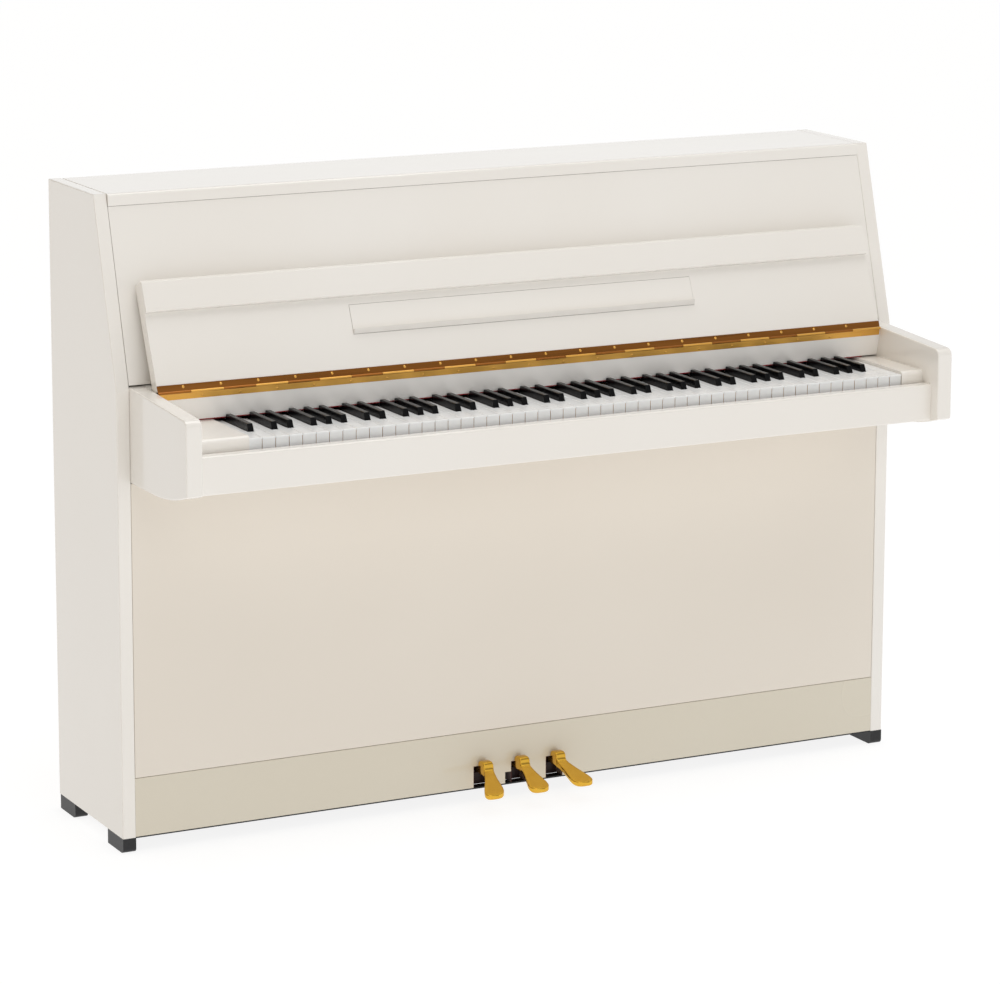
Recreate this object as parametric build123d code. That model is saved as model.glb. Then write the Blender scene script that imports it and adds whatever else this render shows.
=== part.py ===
from build123d import *
import os
from math import atan2, cos, degrees, radians, sin, sqrt

# Upright piano, in millimetres. X runs to the right seen from the front, Y to the back, Z up.
# The origin is on the floor, under the middle of the bounding box.
# Depths are stated from the arms' front faces towards the back; from_front() turns one into a Y value.

# ---- the case ----
depth = 528.0
height = 1086.0
side_thickness = 23.0
glide_height = 25.0
side_front = 236.0  # depth of the side panels' upright front edges
knee_height = 776.0  # where those edges start to lean back
slope_run = 89.0  # how far they lean back between the knee and the top
case_gap = 0.5  # play between a loose panel and what it sits between
panel_gap = 0.6
panel_round = 1.0
panel_thickness = 18.0
edge_round = 2.0

# ---- the arms, which carry the keyboard between them ----
arm_thickness = 28.0
arm_top_front = 768.0
arm_top_back = 781.0  # level again from the side panels' front edges backwards
arm_bottom = 623.0
arm_back = 300.0
arm_nose_round = 14.0
arm_belly_length = 140.0  # the front stretch whose underside curves up
arm_belly_rise = 22.5
arm_edge_round = 3.0

# ---- key bed, slip and blocks ----
bed_bottom = 640.0
bed_thickness = 32.0
bed_cleat = 44.0  # the strip under the bed that meets the lower panel
bed_back = 402.0
rod_hole_radius = 7.5
slip_front = 21.0
slip_thickness = 22.0
slip_bottom = 641.0
slip_top = 704.0
slip_round = 4.0
left_block_width = 101.0
right_block_width = 41.8
block_back = 262.0
block_top = 725.0
block_round = 7.0

# ---- keys ----
white_key_pitch = 23.6
white_key_count = 52
key_gap = 1.0
key_front = 51.0
key_top = 720.0
key_thickness = 20.0
key_head_length = 50.0
key_lip = 1.5  # how far a white top overhangs its front
key_lip_thickness = 2.5
key_edge_round = 0.8
black_slot = 13.0  # room between white tails for a black key
black_key_width = 11.0
black_top_width = 9.4
black_rise = 12.0  # above the white keys
black_back = 197.0
black_nose_slope = 6.0
black_round = 1.4
balance_back = 204.0  # from the key fronts to the balance axis
bead_radius = 2.4
bead_gap = 0.6
capstan_radius = 4.0
capstan_height = 4.0
rail_felt_gap = 0.4

# ---- fallboard and what it carries ----
pin_depth = 186.0
pin_height = 777.0
open_lean = 23.0  # degrees from upright when open
board_length = 186.0
board_thickness = 20.0
board_foot = 4.0  # from the pin to the board's foot
board_end_gap = 1.5
lip_length = 51.5
lip_thickness = 8.5
shelf_length = 646.0
shelf_height = 49.5
shelf_foot = 71.0  # from the pin, along the board
shelf_flap = 3.4
shelf_bar = 7.5
shelf_bar_proud = 7.0
shelf_gap = 0.6
lip_gap = 0.4
small_pin_radius = 1.2
bumper_radius = 7.0
bumper_length = 6.0
bumper_up_board = 165.0
bumper_inset = 90.0

# ---- long hinges ----
hinge_pin_radius = 1.0
hinge_play = 0.05
hinge_barrel_radius = 2.2
leaf_thickness = 1.2
leaf_seat = 1.6  # from the pin's axis to the face a leaf lies on
knuckle_length = 57.0
knuckle_gap = 0.4
board_leaf_width = 13.0
lid_leaf_width = 22.0

# ---- nameboard ----
nameboard_lean = 12.3  # degrees, its foot lying further back than its head
nameboard_thickness = 16.0
nameboard_bottom = 727.0
ledge_back = 262.0
ledge_thickness = 15.0

# ---- lid ----
lid_thickness = 20.0
lid_front = 319.0
lid_round = 5.0
lid_back_margin = 4.0

# ---- front panels ----
toe_rail_thickness = 20.0
toe_rail_bottom = 26.0
toe_rail_top = 125.5
bottom_board_thickness = 20.0

# ---- pedals and trapwork ----
pedal_middle_x = -3.5
pedal_spacing = 70.0
pedal_splay = (-19.0, -0.5, 16.0)  # sideways turn of each paddle's toe
slot_width = 33.0
middle_slot_width = 28.0
slot_top = 64.0
notch_top = 46.0  # the widened foot of the middle slot
notch_width = 51.0
pedal_pivot_depth = 285.0
pedal_pivot_height = 57.0
pedal_bar_width = 16.0
pedal_bar_bottom = 52.0
pedal_bar_top = 60.0
pedal_hump_top = 76.0
pedal_hump_front = 209.0
pedal_hump_back = 233.0
paddle_length = 67.5
paddle_width = 37.0
paddle_thickness = 9.0
paddle_drop = 21.0  # degrees
pivot_pin_radius = 4.0
pivot_play = 0.05
cheek_thickness = 5.0
cheek_gap = 0.5
lever_width = 16.0
lever_height = 24.0
lever_gap = 0.6
pad_half = 3.0
low_lever_bottom = 67.0
high_lever_bottom = 100.0
left_lever_depth = 311.0
right_lever_depth = 330.0
middle_lever_depth = 349.0
left_lever_pivot_x = 330.0
right_lever_pivot_x = -330.0
middle_lever_pivot_x = -105.0
left_rod_x = -675.0
middle_rod_x = -650.0
right_rod_x = -620.0
rod_radius = 5.0
rod_gap = 1.6
rod_neck_radius = 2.0
rod_eye_radius = 5.2
rod_nut_radius = 8.0
rod_nut_height = 5.0

# ---- back frame and soundboard, stated from the back ----
post_width = 50.0
post_count = 5
post_depth = 42.0
beam_depth = 58.0
top_beam_height = 72.0
bottom_beam_top = 120.0
soundboard_thickness = 8.0
soundboard_bottom = 60.0
rib_depth = 14.0
rib_width = 24.0
rib_count = 8
rib_rise = 260.0
bridge_width = 32.0
pin_block_depth = 32.0
pin_block_height = 108.0
string_back = 101.0  # from the back of the case to the plain strings
bass_string_lift = 6.0

# ---- iron plate ----
plate_gap = 1.5  # between the strings and the plate behind them
plate_thickness = 16.0
plate_bar = 40.0
plate_bottom = 62.0
plate_web_height = 40.0
plate_strut = 18.0

# ---- strings ----
note_count = 88
bass_notes = 28
single_bass_notes = 10
string_pitch = 2.7
plain_radius = 0.5
bass_radius = 1.3
single_bass_radius = 1.9
tuning_pin_radius = 3.4
tuning_pin_length = 26.0  # the part that stands out of the pin block

# ---- action ----
strike_height = 924.0
butt_height = 815.0
butt_to_string = 35.0
rest_angle = 22.0  # degrees that the hammers lean away from the strings
shank_length = 118.0
shank_radius = 2.7
butt_pin_radius = 2.0
hammer_width = 9.0
hammer_tip = 30.0
hammer_tail = 16.0
hammer_thickness = 12.0
rest_rail_radius = 8.0
rest_rail_up = 81.0
rest_rail_gap = 0.6
rail_axis_to_string = 67.0
rail_axis_height = 790.0
rail_shaft_radius = 5.0
damper_axis_to_string = 17.0
damper_axis_height = 790.0
damper_shaft_radius = 3.0
damper_notes = 66
crossed_notes = 8  # plain-strung notes whose strings pass behind the bass strings at damper height
damper_bottom = 866.0
damper_height = 30.0
damper_width = 9.0
damper_gap = 0.6
muffler_top = 1013.0
muffler_bar_height = 10.0
muffler_bar_depth = 12.0
muffler_felt_drop = 41.0
muffler_felt_thickness = 4.0
muffler_to_string = 19.0
wippen_bottom = 731.0

# ---- glides ----
glide_length = 69.0
glide_round = 8.0
rear_glide_margin = 4.0

# ---- worked out from the sizes above ----
keyboard_width = white_key_pitch * white_key_count
arms_inner = keyboard_width + left_block_width + right_block_width
case_inner = arms_inner + 2 * arm_thickness
width = case_inner + 2 * side_thickness
front_y = -depth / 2
keyboard_left = -arms_inner / 2 + left_block_width
bed_top = bed_bottom + bed_thickness
key_bottom = key_top - key_thickness
balance_depth = key_front + balance_back
bead_height = key_bottom - bead_gap - bead_radius
slope = slope_run / (height - knee_height)
lid_bottom = height - lid_thickness
string_depth = depth - string_back
bass_depth = string_depth - bass_string_lift
butt_depth = string_depth - butt_to_string
key_back = butt_depth - 30.0
plate_front = string_depth + plate_gap
soundboard_front = depth - beam_depth - soundboard_thickness
beam_top = lid_bottom - 2 * leaf_seat
pin_block_top = beam_top - panel_gap
pin_block_bottom = pin_block_top - pin_block_height
pin_block_front = depth - beam_depth - pin_block_depth
string_top = pin_block_bottom + 8.0  # just under the lowest row of tuning pins
pedal_xs = [pedal_middle_x + step * pedal_spacing for step in (-1, 0, 1)]
rod_xs = (left_rod_x, middle_rod_x, right_rod_x)
lever_depths = (left_lever_depth, middle_lever_depth, right_lever_depth)
lever_bottoms = (low_lever_bottom, high_lever_bottom, low_lever_bottom)
lever_pivots = (left_lever_pivot_x, middle_lever_pivot_x, right_lever_pivot_x)
bottom_board_top = toe_rail_bottom + bottom_board_thickness

# The fallboard's own directions when open, as (depth, height): up the board and through it.
up_board = (sin(radians(open_lean)), cos(radians(open_lean)))
through_board = (cos(radians(open_lean)), -sin(radians(open_lean)))
# The nameboard's: down its face and through it.
down_name = (sin(radians(nameboard_lean)), -cos(radians(nameboard_lean)))
through_name = (cos(radians(nameboard_lean)), sin(radians(nameboard_lean)))


def from_front(distance):
    return front_y + distance


def block(x, y, z):
    """A box from the low and high value of each: x, depth from the front, height."""
    size = (x[1] - x[0], y[1] - y[0], z[1] - z[0])
    middle = ((x[0] + x[1]) / 2, from_front((y[0] + y[1]) / 2), (z[0] + z[1]) / 2)
    return Pos(*middle) * Box(*size)


def side_profile(points, x):
    """A solid whose outline of (depth, height) points is the same all the way from x[0] to x[1]."""
    outline = Polygon(*[(from_front(d), z) for d, z in points], align=None)
    return extrude(Plane.YZ.offset(x[0]) * outline, x[1] - x[0], dir=(1, 0, 0))


def front_profile(points, y):
    """A solid whose outline of (x, height) points is the same from depth y[0] to depth y[1]."""
    outline = Polygon(*points, align=None)
    plane = Plane(origin=(0, from_front(y[1]), 0), x_dir=(1, 0, 0), z_dir=(0, -1, 0))
    return extrude(plane * outline, y[1] - y[0], dir=(0, -1, 0))


def rod(start, end, radius):
    """A round bar between two points of (x, depth, height)."""
    low = Vector(start[0], from_front(start[1]), start[2])
    run = Vector(end[0], from_front(end[1]), end[2]) - low
    return extrude(Plane(origin=low, z_dir=run) * Circle(radius), run.length)


def cross_rod(x, at, radius):
    """A round bar along X at a (depth, height) place."""
    return rod((x[0], *at), (x[1], *at), radius)


def group(solids):
    """Separate solids kept as one node."""
    return Compound(children=list(solids))


def on_board(up, through):
    """The (depth, height) of a point up the open fallboard's face and through its thickness."""
    return (
        pin_depth + up * up_board[0] + through * through_board[0],
        pin_height + up * up_board[1] + through * through_board[1],
    )


def on_nameboard(down, through):
    return (
        pin_depth + down * down_name[0] + through * through_name[0],
        pin_height + down * down_name[1] + through * through_name[1],
    )


def slope_depth(z):
    """Depth of the side panels' leaning front edge at a height."""
    return side_front + (z - knee_height) * slope


# ---------------------------------------------------------------- case


def side_panel(side):
    outline = [
        (side_front, glide_height),
        (side_front, knee_height),
        (side_front + slope_run, height),
        (depth, height),
        (depth, glide_height),
    ]
    x = sorted((side * case_inner / 2, side * width / 2))
    panel = side_profile(outline, x)
    front_and_top = [
        edge
        for edge in panel.edges()
        if edge.length > side_thickness + 1
        and (edge.center().Y < from_front(side_front + slope_run) or edge.center().Z > height - 1)
    ]
    return fillet(front_and_top, edge_round)


def arm(side):
    """One arm: its top falling a little to a rounded nose, its underside curving up to it."""
    belly = (from_front(arm_belly_length), arm_bottom)
    nose = (from_front(0), arm_bottom + arm_belly_rise)
    back_low = (from_front(arm_back), arm_bottom)
    back_high = (from_front(arm_back), arm_top_back)
    bend = (from_front(side_front), arm_top_back)
    front_high = (from_front(0), arm_top_front)
    outline = [
        Line(back_low, belly),
        TangentArc(belly, nose, tangent=(-1, 0)),
        Line(nose, front_high),
        Line(front_high, bend),
        Line(bend, back_high),
        Line(back_high, back_low),
    ]
    x = sorted((side * arms_inner / 2, side * case_inner / 2))
    body = extrude(Plane.YZ.offset(x[0]) * make_face(outline), x[1] - x[0], dir=(1, 0, 0))
    across = body.edges().filter_by(Axis.X)
    nose_top = across.filter_by(lambda e: e.center().Y < from_front(1) and e.center().Z > arm_top_front - 1)
    body = fillet(nose_top, arm_nose_round)
    across = body.edges().filter_by(Axis.X)
    nose_low = across.filter_by(
        lambda e: e.center().Y < from_front(1) and e.center().Z < arm_bottom + arm_belly_rise + 1
    )
    body = fillet(nose_low, arm_edge_round)
    rims = [
        edge
        for edge in body.edges()
        if edge.center().Y < from_front(arm_back - 1) and abs(edge.center().X - x[0]) < 0.01
        or edge.center().Y < from_front(arm_back - 1) and abs(edge.center().X - x[1]) < 0.01
    ]
    return fillet(rims, arm_edge_round - 0.5)


def key_bed():
    x = (-arms_inner / 2, arms_inner / 2)
    bed = block(x, (slip_front + slip_thickness, bed_back), (bed_bottom, bed_top))
    bed += block(x, (side_front + 1, side_front + 1 + bed_cleat), (arm_bottom, bed_bottom))
    for rod_x, y in zip(rod_xs, lever_depths):
        bed -= rod((rod_x, y, bed_bottom - 1), (rod_x, y, bed_top + 1), rod_hole_radius)
    return bed


def key_slip():
    x = (-arms_inner / 2, arms_inner / 2)
    slip = block(x, (slip_front, slip_front + slip_thickness), (slip_bottom, slip_top))
    long_edges = slip.edges().filter_by(Axis.X)
    front_top = long_edges.filter_by(
        lambda e: e.center().Z > slip_top - 1 and e.center().Y < from_front(slip_front + 1)
    )
    slip = fillet(front_top, slip_round)
    others = slip.edges().filter_by(Axis.X).filter_by(
        lambda e: e.center().Z > slip_top - 1 and e.center().Y > from_front(slip_front + slip_thickness - 1)
        or e.center().Z < slip_bottom + 1
    )
    return fillet(others, edge_round)


def key_block(x):
    solid = block(x, (key_front - 2, block_back), (bed_top, block_top))
    front_top = solid.edges().filter_by(Axis.X).filter_by(
        lambda e: e.center().Z > block_top - 1 and e.center().Y < from_front(key_front)
    )
    return fillet(front_top, block_round)


def nameboard():
    """The sloping board behind the keys, with a ledge at its back that meets the upper panel."""
    face_top = on_nameboard(3.0, leaf_seat)
    down = (pin_height - nameboard_bottom) / cos(radians(nameboard_lean))
    face_bottom = on_nameboard(down, leaf_seat)
    back_bottom = (face_bottom[0] + nameboard_thickness, face_bottom[1])
    shoulder = (face_top[0] + nameboard_thickness, face_top[1] - 0.4 * nameboard_thickness)
    ledge_top = arm_top_back + panel_gap
    outline = [
        face_bottom,
        face_top,
        shoulder,
        (shoulder[0] + 8, shoulder[1]),
        (shoulder[0] + 16, ledge_top),
        (ledge_back, ledge_top),
        (ledge_back, ledge_top - ledge_thickness),
        (back_bottom[0] + 6, ledge_top - ledge_thickness),
        back_bottom,
    ]
    return side_profile(outline, (-arms_inner / 2, arms_inner / 2))


def upper_panel():
    """The sloping front above the keyboard, just behind the side panels' leaning edges."""
    bottom = arm_top_back + 2 * panel_gap + 2
    top = lid_bottom - panel_gap
    lean = atan2(slope_run, height - knee_height)
    setback = panel_gap / cos(lean)
    through = panel_thickness / cos(lean)
    outline = [
        (slope_depth(bottom) + setback, bottom),
        (slope_depth(top) + setback, top),
        (slope_depth(top) + setback + through, top),
        (slope_depth(bottom) + setback + through, bottom),
    ]
    half = case_inner / 2 - case_gap
    return side_profile(outline, (-half, half))


def lower_panel():
    half = case_inner / 2 - case_gap
    bottom = toe_rail_top + panel_gap
    panel = block(
        (-half, half),
        (side_front + 1, side_front + 1 + panel_thickness),
        (bottom, arm_bottom - 2 * panel_gap),
    )
    front = panel.edges().filter_by(lambda e: e.center().Y < from_front(side_front + 2))
    return fillet(front, panel_round)


def toe_rail():
    """The bottom rail, notched from below for the three pedals; the middle notch is wider at its foot."""
    y = (side_front + 1, side_front + 1 + toe_rail_thickness)
    half = case_inner / 2
    rail = block((-half, half), y, (toe_rail_bottom, toe_rail_top))
    rail = fillet(
        rail.edges().filter_by(Axis.X).filter_by(
            lambda e: e.center().Y < from_front(y[0] + 1) and e.center().Z > toe_rail_top - 1
        ),
        panel_round,
    )
    through = (y[0] - 1, y[1] + 1)
    for x, wide in zip(pedal_xs, (slot_width, middle_slot_width, slot_width)):
        rail -= block((x - wide / 2, x + wide / 2), through, (toe_rail_bottom - 1, slot_top))
    foot = (pedal_xs[1] - notch_width / 2, pedal_xs[1] + notch_width / 2)
    rail -= block(foot, through, (toe_rail_bottom - 1, notch_top))
    return rail


def bottom_board():
    y = (side_front + 1 + toe_rail_thickness, depth - beam_depth)
    return block((-case_inner / 2, case_inner / 2), y, (toe_rail_bottom, bottom_board_top))


def glides():
    """Four black pads, two under each side panel, their front edges rounded."""
    front = (side_front, side_front + glide_length)
    rear = (depth - rear_glide_margin - glide_length, depth - rear_glide_margin)
    pads = []
    for side in (-1, 1):
        x = sorted((side * case_inner / 2, side * width / 2))
        for y in (front, rear):
            pad = block(x, y, (0, glide_height))
            nose = pad.edges().filter_by(Axis.X).filter_by(
                lambda e: e.center().Z < 1 and e.center().Y < from_front(y[0] + 1)
            )
            pads.append(fillet(nose, glide_round))
    return group(pads)


# ---------------------------------------------------------------- hinges


def hinge_leaf(x, pin, along, seat_side, leaf_width, parity, with_pin):
    """One leaf of a long hinge: a plate, and every second knuckle round the pin.

    pin is the axis as (depth, height); along points from it down the leaf, and seat_side towards the
    face that the leaf lies on.
    """
    def at(run, rise):
        return (
            pin[0] + run * along[0] + rise * seat_side[0],
            pin[1] + run * along[1] + rise * seat_side[1],
        )

    def strip(run, x_range):
        low, high = leaf_seat - leaf_thickness, leaf_seat
        outline = [at(run[0], low), at(run[1], low), at(run[1], high), at(run[0], high)]
        return side_profile(outline, x_range)

    clear = hinge_barrel_radius + knuckle_gap
    leaf = strip((clear, leaf_width), x)
    count = round((x[1] - x[0]) / knuckle_length)
    pitch = (x[1] - x[0]) / count
    for step in range(parity, count, 2):
        span = (x[0] + step * pitch + knuckle_gap / 2, x[0] + (step + 1) * pitch - knuckle_gap / 2)
        knuckle = cross_rod(span, pin, hinge_barrel_radius) + strip((0, clear + 0.5), span)
        leaf += knuckle - cross_rod((span[0] - 1, span[1] + 1), pin, hinge_pin_radius + hinge_play)
    solids = list(leaf.solids())
    if with_pin:
        solids.append(cross_rod(x, pin, hinge_pin_radius))
    return group(solids)


def fallboard_hinge(moving):
    half = arms_inner / 2 - board_end_gap
    pin = (pin_depth, pin_height)
    if moving:
        return hinge_leaf((-half, half), pin, up_board, through_board, board_leaf_width, 0, False)
    return hinge_leaf((-half, half), pin, down_name, through_name, board_leaf_width, 1, True)


def lid_hinge(moving):
    half = case_inner / 2 - 2 * case_gap
    pin = (depth - lid_back_margin + 1.6, lid_bottom - leaf_seat)
    if moving:
        return hinge_leaf((-half, half), pin, (-1, 0), (0, 1), lid_leaf_width, 0, False)
    return hinge_leaf((-half, half), pin, (-1, 0), (0, -1), lid_leaf_width, 1, True)


def lid():
    half = case_inner / 2 - case_gap
    board = block((-half, half), (lid_front, depth - lid_back_margin), (lid_bottom, height))
    front = board.edges().filter_by(Axis.X).filter_by(
        lambda e: e.center().Y < from_front(lid_front + 1) and e.center().Z > height - 1
    )
    return fillet(front, lid_round)


# ---------------------------------------------------------------- fallboard


def fallboard():
    """The keyboard's cover, open and leaning back, with a shallow bed for the music shelf."""
    half = arms_inner / 2 - board_end_gap
    outline = [
        on_board(board_foot, leaf_seat),
        on_board(board_length, leaf_seat),
        on_board(board_length, leaf_seat + board_thickness),
        on_board(board_foot, leaf_seat + board_thickness),
    ]
    board = side_profile(outline, (-half, half))
    board = fillet(board.edges().filter_by(Axis.X).sort_by(Axis.Z)[-2:], edge_round)
    bed = [
        on_board(shelf_foot - shelf_gap, leaf_seat - 1),
        on_board(shelf_foot + shelf_height + shelf_gap, leaf_seat - 1),
        on_board(shelf_foot + shelf_height + shelf_gap, leaf_seat + shelf_flap + shelf_gap),
        on_board(shelf_foot - shelf_gap, leaf_seat + shelf_flap + shelf_gap),
    ]
    reach = shelf_length / 2 + shelf_gap
    return board - side_profile(bed, (-reach, reach))


def lip_hinge_line():
    """Where the folding lip turns, just clear of the board's top front edge."""
    return on_board(board_length + small_pin_radius, leaf_seat - small_pin_radius - lip_gap)


def fallboard_lip():
    """The narrow front rail, folded flat on the open board and hinged at its free edge."""
    half = arms_inner / 2 - board_end_gap
    face = leaf_seat - lip_gap
    outline = [
        on_board(board_length - lip_length, face),
        on_board(board_length - 1, face),
        on_board(board_length - 1, face - lip_thickness),
        on_board(board_length - lip_length, face - lip_thickness),
    ]
    lip = side_profile(outline, (-half, half))
    front = lip.edges().filter_by(Axis.X).filter_by(
        lambda e: (e.center().Y - from_front(0)) < min(outline[2][0], outline[3][0]) + 1
        or e.center().Z > outline[2][1] - 1
    )
    lip = fillet(front, 1.5)
    pin = cross_rod((-half, half), lip_hinge_line(), small_pin_radius)
    tongue = [
        on_board(board_length - 2, face),
        on_board(board_length + small_pin_radius, face - 0.2),
        on_board(board_length + small_pin_radius, face - 2 * small_pin_radius),
        on_board(board_length - 2, face - 2 * small_pin_radius),
    ]
    return lip + side_profile(tongue, (-half, half)) + pin


def music_shelf():
    """A thin flap with a bevelled bar along its foot, folded into its bed in the fallboard."""
    half = shelf_length / 2
    face = leaf_seat + shelf_flap
    outline = [
        on_board(shelf_foot, face),
        on_board(shelf_foot + shelf_height, face),
        on_board(shelf_foot + shelf_height, leaf_seat - 0.4),
        on_board(shelf_foot + shelf_bar, leaf_seat - 0.4),
        on_board(shelf_foot + shelf_bar, leaf_seat - shelf_bar_proud),
        on_board(shelf_foot, leaf_seat - 0.4),
    ]
    flap = side_profile(outline, (-half, half))
    pin_at = on_board(shelf_foot + small_pin_radius, leaf_seat)
    pins = [cross_rod((x, x + 4), pin_at, small_pin_radius / 2) for x in (-half - 0.3, half - 3.7)]
    return flap + pins[0] + pins[1]


def fallboard_bumpers():
    """Two rubber buttons on the fallboard's back, which meet the upper panel."""
    inner = leaf_seat + board_thickness
    buttons = []
    for side in (-1, 1):
        x = side * (arms_inner / 2 - bumper_inset)
        start = (x, *on_board(bumper_up_board, inner))
        end = (x, *on_board(bumper_up_board, inner + bumper_length))
        buttons.append(rod(start, end, bumper_radius))
    return group(buttons)


# ---------------------------------------------------------------- keyboard

# Where each note of an octave sits, in white keys from its C; black notes sit between two whites.
octave_names = ("c", "c_sharp", "d", "d_sharp", "e", "f", "f_sharp", "g", "g_sharp", "a", "a_sharp", "b")
white_steps = {0: 0, 2: 1, 4: 2, 5: 3, 7: 4, 9: 5, 11: 6}
first_note = 9  # the lowest key is an A


def tail_spans():
    """The sideways span of each note's tail in one octave, measured from its C."""
    narrow = (3 * white_key_pitch - 2 * black_slot) / 3
    wide = (4 * white_key_pitch - 3 * black_slot) / 4
    spans, x = {}, 0.0
    for note in range(12):
        if note in white_steps:
            step = narrow if note <= 4 else wide
        else:
            step = black_slot
        spans[note] = (x, x + step)
        x += step
    return spans


def note_place(key):
    """The note within its octave of a key counted from 0, and the X of that octave's C."""
    note = (key + first_note) % 12
    octave = (key + first_note) // 12
    lead_in = white_steps[first_note]
    return note, keyboard_left + (7 * octave - lead_in) * white_key_pitch


def tail_x(key):
    note, octave_x = note_place(key)
    low, high = tail_spans()[note]
    if key == 0:
        low = white_steps[first_note] * white_key_pitch
    if key == note_count - 1:
        high = white_key_pitch
    return octave_x + low, octave_x + high


def tail_middle(key):
    return sum(tail_x(key)) / 2


def stick(x, y):
    return block(x, y, (key_bottom, key_top - key_lip_thickness))


def capstan(key):
    """The brass button near the key's back end that pushes its wippen."""
    place = (tail_middle(key), key_back - 14)
    top = key_top - key_lip_thickness
    return rod((*place, top - 1), (*place, top + capstan_height), capstan_radius)


def white_key(key):
    note, octave_x = note_place(key)
    head_left = octave_x + white_steps[note] * white_key_pitch
    head_x = (head_left + key_gap / 2, head_left + white_key_pitch - key_gap / 2)
    low, high = tail_x(key)
    tail = (max(low, head_x[0]), min(high, head_x[1]))
    head_y = (key_front, key_front + key_head_length)
    top_z = (key_top - key_lip_thickness, key_top)
    visible_end = black_back + 8
    top = block(head_x, head_y, top_z) + block(tail, (head_y[0] + 1, visible_end), top_z)
    rim = top.edges().filter_by(lambda e: e.center().Z > key_top - 0.01)
    top = fillet(rim, key_edge_round)
    body = stick(head_x, (key_front + key_lip, head_y[1])) + stick(tail, (head_y[0] + 2, key_back))
    return top + body + capstan(key)


def black_key(key):
    low, high = tail_x(key)
    middle = (low + high) / 2
    x = (middle - black_key_width / 2, middle + black_key_width / 2)
    nose = key_front + key_head_length + 1.5
    foot_z = key_top - key_lip_thickness
    top_z = key_top + black_rise
    base = Plane(origin=(middle, from_front((nose + black_back) / 2), foot_z))
    crown_y = from_front((nose + black_nose_slope + black_back - 1) / 2)
    crown = Plane(origin=(middle, crown_y, top_z))
    lower = base * Rectangle(black_key_width, black_back - nose)
    upper = crown * Rectangle(black_top_width, black_back - 1 - nose - black_nose_slope)
    sharp = loft([lower, upper])
    sharp = fillet(sharp.edges().filter_by(lambda e: e.center().Z > foot_z + 1), black_round)
    return sharp + stick(x, (nose, key_back)) + capstan(key)


def make_key(key):
    white = note_place(key)[0] in white_steps
    return white_key(key) if white else black_key(key)


def key_group(first, last, white):
    """Keys first up to but not including last, of one colour."""
    wanted = [k for k in range(first, last) if (note_place(k)[0] in white_steps) == white]
    return group(make_key(k) for k in wanted)


def key_frame():
    """Front, balance and back rails; the keys rock on the bead along the balance rail."""
    x = (keyboard_left, keyboard_left + keyboard_width)
    dip = 10.0
    front = block(x, (key_front + 14, key_front + 44), (bed_top, key_bottom - dip - 1))
    balance = block(x, (balance_depth - 13, balance_depth + 13), (bed_top, bead_height))
    bead = cross_rod(x, (balance_depth, bead_height), bead_radius)
    back = block(x, (key_back - 30, key_back), (bed_top, key_bottom - rail_felt_gap))
    return group([front, balance + bead, back])


# ---------------------------------------------------------------- back frame, plate and strings


def back_frame():
    """Upright posts between a top and a bottom beam."""
    half = case_inner / 2
    front = depth - beam_depth
    top = block((-half, half), (front, depth), (beam_top - top_beam_height, beam_top))
    room = depth - lid_back_margin - 1.2
    top -= block((-half - 1, half + 1), (room, depth + 1), (beam_top - 1, beam_top + 1))
    bottom = block((-half, half), (front, depth), (toe_rail_bottom, bottom_beam_top))
    span = case_inner - post_width
    posts = []
    for step in range(post_count):
        x = -half + span * step / (post_count - 1)
        z = (bottom_beam_top, beam_top - top_beam_height)
        posts.append(block((x, x + post_width), (depth - post_depth, depth), z))
    return group([top, bottom, *posts])


def treble_curve(x):
    """Height of the long bridge at x: low at the tenor end, rising steeply to the top treble."""
    low_x, high_x = -0.38 * case_inner, 0.45 * case_inner
    share = (x - low_x) / (high_x - low_x)
    low_z, high_z = soundboard_bottom + 160, pin_block_bottom - 120
    return low_z + (high_z - low_z) * share**1.5


def bridge_line(count):
    low_x, high_x = -0.38 * case_inner, 0.45 * case_inner
    xs = [low_x + (high_x - low_x) * step / (count - 1) for step in range(count)]
    return [(x, treble_curve(x)) for x in xs]


def bass_bridge_ends():
    return (0.02 * case_inner, soundboard_bottom + 130), (0.40 * case_inner, soundboard_bottom + 215)


def soundboard():
    """The board and, on its front, the long bridge and the bass bridge as glued pieces."""
    half = case_inner / 2 - 5
    y = (soundboard_front, soundboard_front + soundboard_thickness)
    board = block((-half, half), y, (soundboard_bottom, pin_block_bottom - panel_gap))
    line = bridge_line(9)
    upper = [(x, z + bridge_width / 2) for x, z in line]
    lower = [(x, z - bridge_width / 2) for x, z in reversed(line)]
    long_bridge = front_profile(upper + lower, (plate_front, soundboard_front))
    (x0, z0), (x1, z1) = bass_bridge_ends()
    across = bridge_width / 2
    bass_outline = [(x0, z0 - across), (x1, z1 - across), (x1, z1 + across), (x0, z0 + across)]
    bass_bridge = front_profile(bass_outline, (bass_depth + 2 * bass_radius, soundboard_front))
    return group([board, long_bridge, bass_bridge - long_bridge])


def soundboard_ribs():
    """Slanting ribs glued across the back of the soundboard, in front of the posts."""
    y = (depth - beam_depth, depth - beam_depth + rib_depth)
    low = bottom_beam_top + 12
    high = beam_top - top_beam_height - rib_rise - rib_width - 12
    half = case_inner / 2 - 15
    ribs = []
    for step in range(rib_count):
        z = low + (high - low) * step / (rib_count - 1)
        lower = [(-half, z + rib_rise), (half, z)]
        upper = [(half, z + rib_width), (-half, z + rib_rise + rib_width)]
        ribs.append(front_profile(lower + upper, y))
    return group(ribs)


def pin_block():
    half = case_inner / 2
    return block((-half, half), (pin_block_front, depth - beam_depth), (pin_block_bottom, pin_block_top))


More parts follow.
